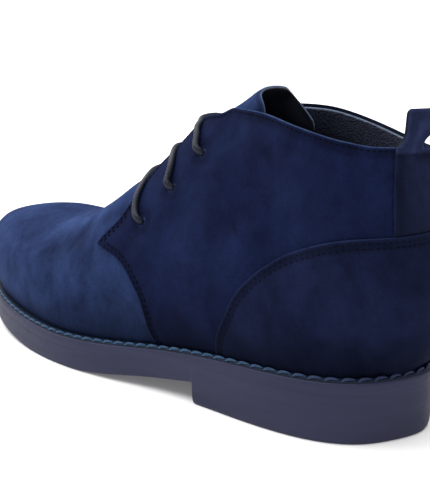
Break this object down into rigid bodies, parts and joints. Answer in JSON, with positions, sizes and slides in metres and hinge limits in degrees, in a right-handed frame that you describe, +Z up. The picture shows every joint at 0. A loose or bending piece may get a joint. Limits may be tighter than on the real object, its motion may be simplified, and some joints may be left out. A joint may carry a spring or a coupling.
{
  "type": "chukka boot",
  "caption": "Low ankle boot in dark blue suede with open lacing, a sewn welt edge, a pull loop at the back and a moulded rubber sole with a low heel.",
  "frame": {"origin": "middle of the boot's bounding box at the floor", "axes": "+X from heel to toe, +Y to the outer side of the left foot, +Z up"},
  "size_m": [0.3018, 0.0996, 0.1424],
  "materials": {
    "suede": "dark blue suede, short brushed nap",
    "lining_leather": "near-black smooth leather lining",
    "sole_rubber": "grey-navy moulded rubber, satin",
    "welt_thread": "teal-blue stitched welt",
    "lace_cord": "round waxed cord"
  },
  "bodies": {
    "root": {"sole": "sole_rubber", "welt": "welt_thread", "insole": "lining_leather", "upper": "suede", "tongue": "suede", "heel_counter": "suede", "back_strip": "suede", "lace_1": "lace_cord", "lace_2": "lace_cord", "lace_3": "lace_cord"}
  },
  "joints": []
}
